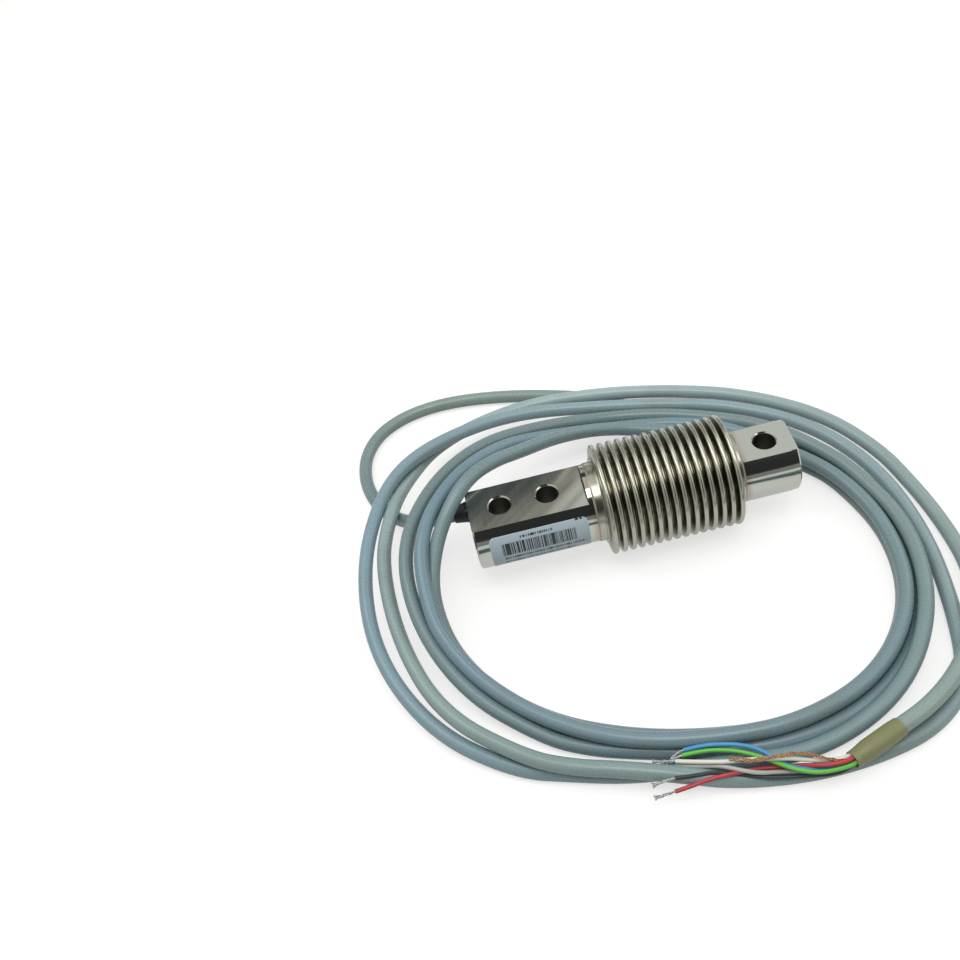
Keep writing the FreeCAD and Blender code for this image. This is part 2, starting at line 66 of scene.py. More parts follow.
def linear(code: str) -> tuple[float, float, float, float]:
    """Turns an sRGB hex colour into linear RGBA.

    Args:
        code: Colour such as "#7d97aa".

    Returns:
        Linear red, green, blue and an alpha of one.
    """
    channels = [int(code[i:i + 2], 16) / 255 for i in (1, 3, 5)]
    red, green, blue = [
        c / 12.92 if c <= 0.04045 else ((c + 0.055) / 1.055) ** 2.4 for c in channels
    ]
    return red, green, blue, 1.0


def add_node(
    tree: Tree,
    kind: str,
    inputs: Mapping[str | int, Any] | None = None,
    stops: Stops = (),
    **settings: Any,
) -> Node:
    """Adds one node with its settings and links.

    Args:
        tree: Node tree that takes the node.
        kind: Blender's name of the node type, without ShaderNode in front.
        inputs: Values, or outputs to link, by input name or index. A node stands for its first
            output in use.
        stops: Places and hex colours of a colour ramp.
        **settings: Attributes of the node.

    Returns:
        The new node.
    """
    node = tree.nodes.new("ShaderNode" + kind)
    for name, value in settings.items():
        setattr(node, name, value)
    for key, value in (inputs or {}).items():
        if isinstance(value, Node):
            value = next(output for output in value.outputs if output.enabled)
        if isinstance(value, Socket):
            tree.links.new(value, node.inputs[key])
        else:
            node.inputs[key].default_value = value
    for index, (place, code) in enumerate(stops):
        elements = node.color_ramp.elements
        element = elements[index] if index < 2 else elements.new(place)
        element.position = place
        element.color = linear(code)
    return node


class Slot(Enum):
    """Material slots of the record, one for each kind of new piece."""

    BELLOWS = "stainless_bellows"
    JACKET = "cable_jacket"
    SHIELD = "shield_copper"
    TINNED = "tinned_wire"
    BLUE = "insulation_blue"
    GREEN = "insulation_green"
    WHITE = "insulation_white"
    GREY = "insulation_grey"
    BLACK = "insulation_black"
    RED = "insulation_red"


class Core(Enum):
    """The six cores, by the colour of their insulation."""

    BLUE = "blue"
    GREEN = "green"
    WHITE = "white"
    GREY = "grey"
    BLACK = "black"
    RED = "red"

    @property
    def slot(self) -> Slot:
        """The record's slot of the core's insulation."""
        return Slot[self.name]


@dataclass(frozen=True)
class Finish:
    """A real material and how its surface was made. Sizes in millimetres.

    Attributes:
        name: Common name of the material and its making.
        colour: Base colour as sRGB hex.
        roughness: Roughness of the bare surface.
        metallic: One for a metal, nought otherwise.
        grain: Strength of the skin's fine unevenness.
        grain_pitch: Size of that unevenness.
        grain_detail: How many finer layers it has.
        grain_height: Its height.
        polish: Shares of the roughness on the smoothest and on the dullest spots.
    """

    name: str
    colour: str
    roughness: float
    metallic: float = 0.0
    grain: float = 0.06
    grain_pitch: float = 2.5
    grain_detail: float = 4.0
    grain_height: float = 0.2
    polish: Pair = (0.85, 1.2)

    def material(self) -> bpy.types.Material:
        """Makes the Blender material.

        Returns:
            The material, with the finish's own pattern in its nodes.
        """
        material = bpy.data.materials.new(self.name)
        material.use_nodes = True
        tree = material.node_tree
        shader = tree.nodes["Principled BSDF"]
        shader.inputs["Base Color"].default_value = linear(self.colour)
        shader.inputs["Roughness"].default_value = self.roughness
        shader.inputs["Metallic"].default_value = self.metallic
        self.paint(tree, shader)
        return material

    def paint(self, tree: Tree, shader: Node) -> None:
        """Adds the surface's pattern. The plain finish has faint mottling and grain.

        Args:
            tree: The material's node tree.
            shader: Its Principled shader.
        """
        place = add_node(tree, "TexCoord").outputs["Object"]
        grain = add_node(
            tree,
            "TexNoise",
            {"Vector": place, "Scale": 1 / (self.grain_pitch * MM), "Detail": self.grain_detail},
        )
        smooth, dull = self.polish
        rough = add_node(
            tree,
            "MapRange",
            {"Value": grain, "To Min": self.roughness * smooth, "To Max": self.roughness * dull},
        )
        bump = add_node(
            tree, "Bump", {"Height": grain, "Strength": self.grain, "Distance": self.grain_height * MM}
        )
        tree.links.new(rough.outputs["Result"], shader.inputs["Roughness"])
        tree.links.new(bump.outputs["Normal"], shader.inputs["Normal"])


@dataclass(frozen=True)
class MachinedSteel(Finish):
    """Machined stainless bar: tool lines, slow waves, straw tint by the welds, and rougher bores darkened
    with painted shade.

    Sizes in millimetres. The grain is the tool lines, drawn coarser than the real ones so that they show.

    Attributes:
        line_stretch: How much slower the tool lines change along themselves than across.
        patch_pitch: Size of the patches that differ in polish.
        wear: Least and greatest sum of tool lines and patches.
        wave_pitch: Spacing of the slow waves that the cutter left.
        wave_height: Height of those waves.
        wave_angle: Their direction on the flats, in degrees.
        wave_length: How many times longer than wide they are.
        tint: Colour of the heat tint.
        tint_strength: Share of the tint right beside a weld.
        tint_bands: Places along the bar where the welds' heat tinted it.
        tint_reach: How far the tint runs from a weld.
        bores: Places of the through holes along the bar.
        bore_radius: Radius inside which a hole's wall is rougher and darkened with painted shade.
        bore_shade_colour: Colour of the painted shade on that wall.
        bore_roughness: Roughness of that wall.
    """

    grain: float = 0.012
    grain_pitch: float = 0.3
    grain_detail: float = 3.0
    grain_height: float = 0.1
    polish: Pair = (0.75, 1.35)
    line_stretch: float = 0.03
    patch_pitch: float = 14.0
    wear: Pair = (0.6, 1.4)
    wave_pitch: float = 9.0
    wave_height: float = 0.12
    wave_angle: float = -50.0
    wave_length: float = 5.0
    tint: str = "#9a7450"
    tint_strength: float = 0.45
    tint_bands: Pair = (-15.6, 40.3)
    tint_reach: float = 2.8
    bores: tuple[float, ...] = (-49.0, -31.0, 51.0)
    bore_radius: float = 4.2
    bore_shade_colour: str = "#74726a"
    bore_roughness: float = 0.42

    def machined(self, tree: Tree, place: Socket) -> tuple[Node, Node]:
        """Adds the tool lines and the waves.

        Args:
            tree: The material's node tree.
            place: Object coordinates.

        Returns:
            The nodes of the roughness and of the normal.
        """
        stretched = add_node(
            tree, "Mapping", {"Vector": place, "Scale": (1.0, self.line_stretch, self.line_stretch)}
        )
        lines = add_node(
            tree,
            "TexNoise",
            {"Vector": stretched, "Scale": 1 / (self.grain_pitch * MM), "Detail": self.grain_detail},
        )
        patches = add_node(
            tree, "TexNoise", {"Vector": place, "Scale": 1 / (self.patch_pitch * MM), "Detail": 2.0}
        )
        worn = add_node(tree, "Math", {0: lines, 1: patches}, operation="ADD")
        rough = add_node(
            tree,
            "MapRange",
            {
                "Value": worn,
                "From Min": self.wear[0],
                "From Max": self.wear[1],
                "To Min": self.roughness * self.polish[0],
                "To Max": self.roughness * self.polish[1],
            },
        )
        bump = add_node(
            tree, "Bump", {"Height": lines, "Strength": self.grain, "Distance": self.grain_height * MM}
        )
        slanted = add_node(
            tree,
            "Mapping",
            {
                "Vector": place,
                "Rotation": (0.0, 0.0, math.radians(self.wave_angle)),
                "Scale": (1.0, self.wave_length, self.wave_length),
            },
            vector_type="TEXTURE",
        )
        waves = add_node(
            tree, "TexNoise", {"Vector": slanted, "Scale": 1 / (self.wave_pitch * MM), "Detail": 1.0}
        )
        bent = add_node(
            tree,
            "Bump",
            {"Height": waves, "Strength": 1.0, "Distance": self.wave_height * MM, "Normal": bump},
        )
        return rough, bent

    def tinted(self, tree: Tree, place: Socket) -> Node:
        """Adds the welds' heat tint.

        Args:
            tree: The material's node tree.
            place: Object coordinates.

        Returns:
            The colour's node.
        """
        along = add_node(tree, "SeparateXYZ", {"Vector": place}).outputs["X"]
        colour: Any = linear(self.colour)
        for band in self.tint_bands:
            away = add_node(tree, "Math", {0: along, 1: band * MM}, operation="SUBTRACT")
            reach = add_node(tree, "Math", {0: away}, operation="ABSOLUTE")
            heat = add_node(
                tree,
                "MapRange",
                {
                    "Value": reach,
                    "From Max": self.tint_reach * MM,
                    "To Min": self.tint_strength,
                    "To Max": 0.0,
                },
                interpolation_type="SMOOTHSTEP",
            )
            colour = add_node(
                tree, "Mix", {"Factor": heat, "A": colour, "B": linear(self.tint)}, data_type="RGBA"
            )
        return colour

    def paint(self, tree: Tree, shader: Node) -> None:
        """Adds tool lines, waves, heat tint, and rougher bores with painted shade.

        Args:
            tree: The material's node tree.
            shader: Its Principled shader.
        """
        place = add_node(tree, "TexCoord").outputs["Object"]
        roughness, normal = self.machined(tree, place)
        colour = self.tinted(tree, place)
        plan = add_node(tree, "VectorMath", {0: place, 1: (1.0, 1.0, 0.0)}, operation="MULTIPLY")
        # Painted shade: inside each hole the wall takes a darker colour, along with its own higher
        # roughness.
        for bore in self.bores:
            away = add_node(tree, "VectorMath", {0: plan, 1: (bore * MM, 0.0, 0.0)}, operation="DISTANCE")
            wall = add_node(tree, "Math", {0: away, 1: self.bore_radius * MM}, operation="LESS_THAN")
            colour = add_node(
                tree, "Mix", {"Factor": wall, "A": colour, "B": linear(self.bore_shade_colour)}, data_type="RGBA"
            )
            roughness = add_node(tree, "Mix", {"Factor": wall, "A": roughness, "B": self.bore_roughness})
        tree.links.new(colour.outputs["Result"], shader.inputs["Base Color"])
        tree.links.new(roughness.outputs["Result"], shader.inputs["Roughness"])
        tree.links.new(normal.outputs["Normal"], shader.inputs["Normal"])


@dataclass(frozen=True)
class FoldedSheet(Finish):
    """Thin sheet pressed into folds, with painted shade darkening it between the crests. Sizes in
    millimetres.

    Attributes:
        fold_shade_colour: Colour of the painted shade at the bottom of a fold.
        axis_height: Height of the folds' axis.
        fold_radius: Radius at the bottom of a fold.
        bright_radius: Radius from which the sheet has no painted shade.
        middle: Middle of the folds along the bar.
        half_length: Half the length of the folds. The cuffs beyond them get no painted shade.
    """

    fold_shade_colour: str = "#888470"
    axis_height: float = 21.0
    fold_radius: float = 17.0
    bright_radius: float = 20.4
    middle: float = 12.8
    half_length: float = 25.2

    def paint(self, tree: Tree, shader: Node) -> None:
        """Adds the plain finish's grain and painted shade in the folds.

        Args:
            tree: The material's node tree.
            shader: Its Principled shader.
        """
        super().paint(tree, shader)
        place = add_node(tree, "TexCoord").outputs["Object"]
        # Painted shade: the colour darkens towards the bottom of each fold, by distance from the folds'
        # axis.
        centred = add_node(
            tree, "VectorMath", {0: place, 1: (0.0, 0.0, self.axis_height * MM)}, operation="SUBTRACT"
        )
        across = add_node(tree, "VectorMath", {0: centred, 1: (0.0, 1.0, 1.0)}, operation="MULTIPLY")
        radius = add_node(tree, "VectorMath", {0: across}, operation="LENGTH")
        bright = add_node(
            tree,
            "MapRange",
            {"Value": radius, "From Min": self.fold_radius * MM, "From Max": self.bright_radius * MM},
        )
        along = add_node(tree, "SeparateXYZ", {"Vector": place})
        folded = add_node(
            tree,
            "Math",
            {0: along.outputs["X"], 1: self.middle * MM, 2: self.half_length * MM},
            operation="COMPARE",
        )
        shaded = add_node(tree, "Mix", {"Factor": folded, "A": 1.0, "B": bright})
        sheet = add_node(
            tree,
            "Mix",
            {"Factor": shaded, "A": linear(self.fold_shade_colour), "B": linear(self.colour)},
            data_type="RGBA",
        )
        tree.links.new(sheet.outputs["Result"], shader.inputs["Base Color"])


@dataclass(frozen=True)
class PrintBlock:
    """A block of plain upright marks on the label. Sizes in millimetres.

    Attributes:
        start: Where the marks begin along the label.
        end: Where they end.
        low: Their lower edge above the floor.
        high: Their upper edge above the floor.
        pitch: Mean width of a mark.
    """

    start: float
    end: float
    low: float
    high: float
    pitch: float


@dataclass(frozen=True)
class LabelFilm(Finish):
    """Coated polyester label: smooth pale film with plain printed bars and broken rules.

    Attributes:
        ink: Colour of the print.
        ink_level: Level of the pattern from which there is ink.
        blocks: The bars and the broken rules.
    """

    grain: float = 0.0
    grain_pitch: float = 4.0
    grain_detail: float = 3.0
    polish: Pair = (0.8, 1.2)
    ink: str = "#2e343a"
    ink_level: float = 0.47
    blocks: tuple[PrintBlock, ...] = (
        PrintBlock(-51.8, -24.1, 20.3, 26.0, 0.42),
        PrintBlock(-44.4, -32.4, 27.0, 27.9, 0.7),
        PrintBlock(-51.4, -20.8, 17.7, 19.0, 0.6),
        PrintBlock(-51.4, -25.0, 14.5, 15.9, 0.6),
        PrintBlock(-23.6, -20.6, 28.4, 29.2, 0.7),
    )

    def print_block(self, tree: Tree, place: Socket, block: PrintBlock) -> Node:
        """Adds the nodes of one block of marks.

        Args:
            tree: The material's node tree.
            place: Object coordinates.
            block: The block.

        Returns:
            The node whose value is one where there is ink.
        """
        axes = add_node(tree, "SeparateXYZ", {"Vector": place})
        column = add_node(tree, "Mapping", {"Vector": place, "Scale": (1.0, 0.0, 0.0)})
        marks = add_node(
            tree, "TexNoise", {"Vector": column, "Scale": 1 / (block.pitch * MM), "Detail": 0.0}
        )
        limits = (
            (marks.outputs["Fac"], "GREATER_THAN", self.ink_level),
            (axes.outputs["X"], "GREATER_THAN", block.start * MM),
            (axes.outputs["X"], "LESS_THAN", block.end * MM),
            (axes.outputs["Z"], "GREATER_THAN", block.low * MM),
            (axes.outputs["Z"], "LESS_THAN", block.high * MM),
        )
        inked: Any = 1.0
        for socket, test, limit in limits:
            inside = add_node(tree, "Math", {0: socket, 1: limit}, operation=test)
            inked = add_node(tree, "Math", {0: inside, 1: inked}, operation="MULTIPLY")
        return inked

    def paint(self, tree: Tree, shader: Node) -> None:
        """Prints the blocks of marks and gives the film its soft gloss.

        Args:
            tree: The material's node tree.
            shader: Its Principled shader.
        """
        super().paint(tree, shader)
        place = add_node(tree, "TexCoord").outputs["Object"]
        colour: Any = linear(self.colour)
        for block in self.blocks:
            colour = add_node(
                tree,
                "Mix",
                {"Factor": self.print_block(tree, place, block), "A": colour, "B": linear(self.ink)},
                data_type="RGBA",
            )
        tree.links.new(colour.outputs["Result"], shader.inputs["Base Color"])


@dataclass(frozen=True)
class CableJacket(Finish):
    """Extruded PUR jacket: silky grey skin whose tint drifts along its length, with painted shade and
    light and handling smudges.

    Attributes:
        drift_light_and_shade: Places along the cable, from nought to one, and the jacket's colour there:
            its drifting tint, with painted shade and painted light.
        smudge: Colour of the smudges.
        smudge_pitch: Their size, in millimetres.
        smudge_levels: Levels of the pattern at which a smudge starts and is full.
        smudge_strength: Share of a full smudge's colour.
    """

    grain: float = 0.025
    grain_pitch: float = 0.8
    grain_detail: float = 3.0
    grain_height: float = 0.1
    polish: Pair = (0.9, 1.15)
    drift_light_and_shade: Stops = ((0.0, "#8698a0"), (1.0, "#8698a0"))
    smudge: str = "#6f7a70"
    smudge_pitch: float = 18.0
    smudge_levels: Pair = (0.5, 0.8)
    smudge_strength: float = 0.35

    def paint(self, tree: Tree, shader: Node) -> None:
        """Adds the plain finish's grain, the drift of colour with its painted shade and light, and the
        smudges.

        Args:
            tree: The material's node tree.
            shader: Its Principled shader.
        """
        super().paint(tree, shader)
        place = add_node(tree, "TexCoord")
        length = add_node(tree, "SeparateXYZ", {"Vector": place.outputs["UV"]})
        tint = add_node(tree, "ValToRGB", {"Fac": length.outputs["X"]}, self.drift_light_and_shade)
        smear = add_node(
            tree,
            "TexNoise",
            {"Vector": place.outputs["Object"], "Scale": 1 / (self.smudge_pitch * MM), "Detail": 2.0},
        )
        start, full = self.smudge_levels
        amount = add_node(
            tree,
            "MapRange",
            {"Value": smear, "From Min": start, "From Max": full, "To Max": self.smudge_strength},
        )
        soiled = add_node(
            tree, "Mix", {"Factor": amount, "A": tint, "B": linear(self.smudge)}, data_type="RGBA"
        )
        tree.links.new(soiled.outputs["Result"], shader.inputs["Base Color"])


# Bright bar with a faint cross grain: mirrors the room softly, dark under the flats' edges.
STEEL_BEAM = MachinedSteel("Stainless steel, turned and milled", "#bcc0b9", 0.1, 1.0)
# Thin drawn sheet, slightly warm: a bright line on each crest from the lamps, and olive dark between,
# deepened with painted shade.
STEEL_BELLOWS = FoldedSheet("Stainless sheet, hydroformed", "#afaea2", 0.24, 1.0, grain=0.01)
# Narrow straw to copper rim beside each cuff.
STEEL_WELD = Finish("Stainless weld bead, heat tinted", "#a3978a", 0.35, 1.0)
# Pale bluish film with a soft gloss, against the bare metal.
LABEL = LabelFilm("Polyester film, coated", "#b6c7d1", 0.45)
# Amber backing under a dull metal film.
FOIL = Finish("Constantan gauge foil on polyimide", "#a9743c", 0.4, 0.3)
# Dull green board.
LAMINATE = Finish("Glass epoxy laminate", "#2f5a3c", 0.5)
# Small dark chips with a low gloss.
CERAMIC = Finish("Alumina chip, glazed", "#3b3d40", 0.4)
# Off-white wires, waxy.
CORE_HARNESS = Finish("PTFE insulation, bundled", "#c9c7bd", 0.4)
# Dark smoky metal ring.
PLATED = Finish("Brass, black nickel plated", "#3a3b3d", 0.32, 1.0)
# Matt black ring inside the gland.
SEAL = Finish("Nitrile rubber, moulded", "#1f2021", 0.6)
# Matt charcoal sleeve where the cable leaves the bar.
BOOT = Finish("EPDM rubber, moulded", "#26282a", 0.55)
# Silky blue grey skin that turns greener and bluer from turn to turn, with a soft line of light along it;
# its colour stops also hold painted shade and painted light.
JACKET = CableJacket(
    "PUR jacket, extruded",
    "#7f939c",
    0.27,
    # Painted shade in the darker stops at 0.0 to 0.04, 0.39 and 0.56; painted light in the lighter stops
    # at 0.74 and 0.90.
    drift_light_and_shade=(
        (0.0, "#66797b"), (0.04, "#72868a"), (0.08, "#85988f"), (0.13, "#778a8c"),
        (0.33, "#72888d"), (0.39, "#6f8894"), (0.50, "#748b93"), (0.56, "#6f8284"),
        (0.62, "#778b8b"), (0.70, "#7a949f"), (0.74, "#899fa5"), (0.84, "#7e9291"),
        (0.90, "#9db1b3"), (0.93, "#879b9b"), (1.0, "#879995"),
    ),
)
# Olive tube, a little see-through in feel, with a dull shine.
SLEEVE = Finish("Polyolefin shrink tube, recovered", "#7b7c55", 0.36)
# Thin wires with warm orange glints.
COPPER = Finish("Copper braid, drawn", "#bb8d68", 0.2, 1.0)
# Silvery strands with small glints.
TINNED = Finish("Copper strand, tinned", "#b9bbbb", 0.25, 1.0)
# Six clear colours with the same low plastic shine.
INSULATION = {
    core: Finish(f"PVC insulation, {core.value}", colour, 0.35)
    for core, colour in (
        (Core.BLUE, "#4a90c4"),
        (Core.GREEN, "#62b84a"),
        (Core.WHITE, "#d6d6cc"),
        (Core.GREY, "#aeb1ab"),
        (Core.BLACK, "#30363a"),
        (Core.RED, "#b13c43"),
    )
}


def link(piece: Piece, slot: Slot, *nodes: str) -> Piece:
    """Puts a new piece in the scene, on the part's only body.

    Args:
        piece: The new object.
        slot: The record's slot of its finish. Not used.
        *nodes: CAD nodes that it stands for.

    Returns:
        The same object.
    """
    bpy.context.scene.collection.objects.link(piece)
    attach(piece, "root")
    if nodes:
        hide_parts(*nodes)
    LOG.info("made %s", piece.name)
    return piece


def spline_curve(
    name: str, routes: Sequence[Sequence[Point]], diameter: float, sides: int, steps: int
) -> Piece:
    """Makes round wire that follows smooth splines.

    Args:
        name: Name of the object.
        routes: Control points of each spline, in millimetres.
        diameter: The wire's diameter in millimetres.
        sides: Sides round the wire, an even number.
        steps: Steps of the spline for each control point.

    Returns:
        The curve object, not yet in the scene.
    """
    curve = bpy.data.curves.new(name, "CURVE")
    curve.dimensions = "3D"
    curve.resolution_u = steps
    curve.render_resolution_u = steps
    curve.bevel_depth = diameter / 2 * MM
    curve.bevel_resolution = sides // 2 - 2
    curve.use_fill_caps = True
    for points in routes:
        spline = curve.splines.new("NURBS")
        spline.points.add(len(points) - 1)
        for control, (x, y, z) in zip(spline.points, points):
            control.co = (x * MM, y * MM, z * MM, 1.0)
        spline.order_u = 3
        spline.use_endpoint_u = True
        spline.use_smooth = True
    return bpy.data.objects.new(name, curve)


def spline_points(route: Sequence[Point], steps: int) -> list[Vector]:
    """Reads points off the smooth spline that a route draws.

    Args:
        route: Control points, in millimetres.
        steps: Points to read for each control point.

    Returns:
        The points in order, in millimetres.
    """
    line = spline_curve("route_line", [route], diameter=0.0, sides=4, steps=steps)
    mesh = bpy.data.meshes.new_from_object(line)
    points = [vertex.co / MM for vertex in mesh.vertices]
    bpy.data.meshes.remove(mesh)
    bpy.data.curves.remove(line.data)
    return points


@dataclass(frozen=True)
class Winding:
    """Loose strands that wind round a line and fray towards its end. Sizes in millimetres.

    Attributes:
        count: Number of strands.
        radius: Distance of the strands from the line.
        pitch: Length of one turn.
        fray: How many times wider the strands stand at the end.
        fray_power: How late along the line they fray.
        sway: Share by which a strand swings out and in along the line.
        sway_rate: How fast the first strand swings, in radians for each millimetre.
        sway_step: How much faster each next strand swings.
        sway_phase: How far ahead each next strand starts, in radians.
    """

    count: int
    radius: float
    pitch: float
    fray: float
    fray_power: int = 4
    sway: float = 0.45
    sway_rate: float = 0.8
    sway_step: float = 0.3
    sway_phase: float = 2.0

    def strands(self, line: Sequence[Vector]) -> list[list[Point]]:
        """Winds the strands.

        Args:
            line: Points along the line.

        Returns:
            Control points of each strand.
        """
        travelled = [0.0, *accumulate((b - a).length for a, b in zip(line, line[1:]))]
        last = len(line) - 1
        strands = []
        for strand in range(self.count):
            rate = self.sway_rate + self.sway_step * strand
            route = []
            for index, (place, run) in enumerate(zip(line, travelled)):
                ahead = line[min(index + 1, last)] - line[max(index - 1, 0)]
                side = ahead.cross(Vector((0, 0, 1))).normalized()
                lift = side.cross(ahead).normalized()
                turn = math.tau * (run / self.pitch + strand / self.count)
                swing = 1 + self.sway * math.sin(run * rate + self.sway_phase * strand)
                frayed = 1 + self.fray * (run / travelled[-1]) ** self.fray_power
                outward = side * math.cos(turn) + lift * math.sin(turn)
                route.append(tuple(place + outward * (self.radius * swing * frayed)))
            strands.append(route)
        return strands


@dataclass
class Bellows:
    """Thin bellows round the bending section, with a cuff at each end.

    Sizes are in millimetres and the sharp angle is in degrees. A cuff is its end along the beam and its
    outside radius. Points nearer than the merge distance become one, and sharper edges stay crisp.
    """

    axis_height: float = 21.0
    crest_radius: float = 21.0
    root_radius: float = 16.4
    bore_radius: float = 16.05
    first_crest: float = -10.7
    pitch: float = 3.36
    crests: int = 15
    crest_width: float = 1.8
    root_width: float = 1.0
    crest_round: float = 0.88
    crest_segments: int = 5
    root_round: float = 0.4
    root_segments: int = 2
    cuff_wall: float = 0.35
    clamped_cuff: Pair = (-14.98, 15.1)
    load_cuff: Pair = (39.72, 13.8)
    turn_steps: int = 120
    merge_distance: float = 0.001
    sharp_angle: float = 40.0

    def profile(self, shape: bmesh.types.BMesh) -> None:
        """Draws the closed profile of folds and cuffs above the axis, and rounds it.

        Args:
            shape: Empty bmesh that takes the profile.
        """
        left = self.first_crest - self.pitch / 2
        right = self.first_crest + self.pitch * (self.crests - 0.5)
        clamped_side, load_side = (
            [
                (edge, self.bore_radius),
                (edge + wall, radius - self.cuff_wall),
                (end, radius - self.cuff_wall),
                (end, radius),
                (edge + wall, radius),
                (edge + wall, self.root_radius),
            ]
            for edge, wall, (end, radius) in (
                (left, -self.cuff_wall, self.clamped_cuff),
                (right, self.cuff_wall, self.load_cuff),
            )
        )
        foot = (self.pitch - self.root_width) / 2
        top = self.crest_width / 2
        root = self.root_radius
        crest = self.crest_radius
        fold = ((-foot, root), (-top, crest), (top, crest), (foot, root))
        folds = [
            (self.first_crest + index * self.pitch + across, radius)
            for index in range(self.crests)
            for across, radius in fold
        ]
        line = [shape.verts.new((x, 0, z)) for x, z in (*clamped_side, *folds, *reversed(load_side))]
        for here, there in zip(line, line[1:] + line[:1]):
            shape.edges.new((here, there))
        corners = line[len(clamped_side):-len(load_side)]
        for radius, rounding, segments in (
            (crest, self.crest_round, self.crest_segments),
            (root, self.root_round, self.root_segments),
        ):
            bmesh.ops.bevel(
                shape,
                geom=[corner for corner, (_, height) in zip(corners, folds) if height == radius],
                offset=rounding,
                segments=segments,
                profile=0.5,
                affect="VERTICES",
                material=-1,
            )

    def build(self) -> None:
        """Spins the profile round the beam's axis and dresses the bellows."""
        shape = bmesh.new()
        self.profile(shape)
        bmesh.ops.spin(
            shape,
            geom=shape.verts[:] + shape.edges[:],
            cent=(0, 0, 0),
            axis=(1, 0, 0),
            angle=math.tau,
            steps=self.turn_steps,
            use_merge=True,
        )
        bmesh.ops.remove_doubles(shape, verts=shape.verts[:], dist=self.merge_distance)
        bmesh.ops.recalc_face_normals(shape, faces=shape.faces[:])
        placed = Matrix.Scale(MM, 4) @ Matrix.Translation((0, 0, self.axis_height))
        bmesh.ops.transform(shape, matrix=placed, verts=shape.verts[:])
        for face in shape.faces:
            face.smooth = True
        mesh = bpy.data.meshes.new("bellows_folds")
        shape.to_mesh(mesh)
        shape.free()
        mesh.set_sharp_from_angle(angle=math.radians(self.sharp_angle))
        mesh.materials.append(STEEL_BELLOWS.material())
        link(bpy.data.objects.new("bellows_folds", mesh), Slot.BELLOWS, "bellows")


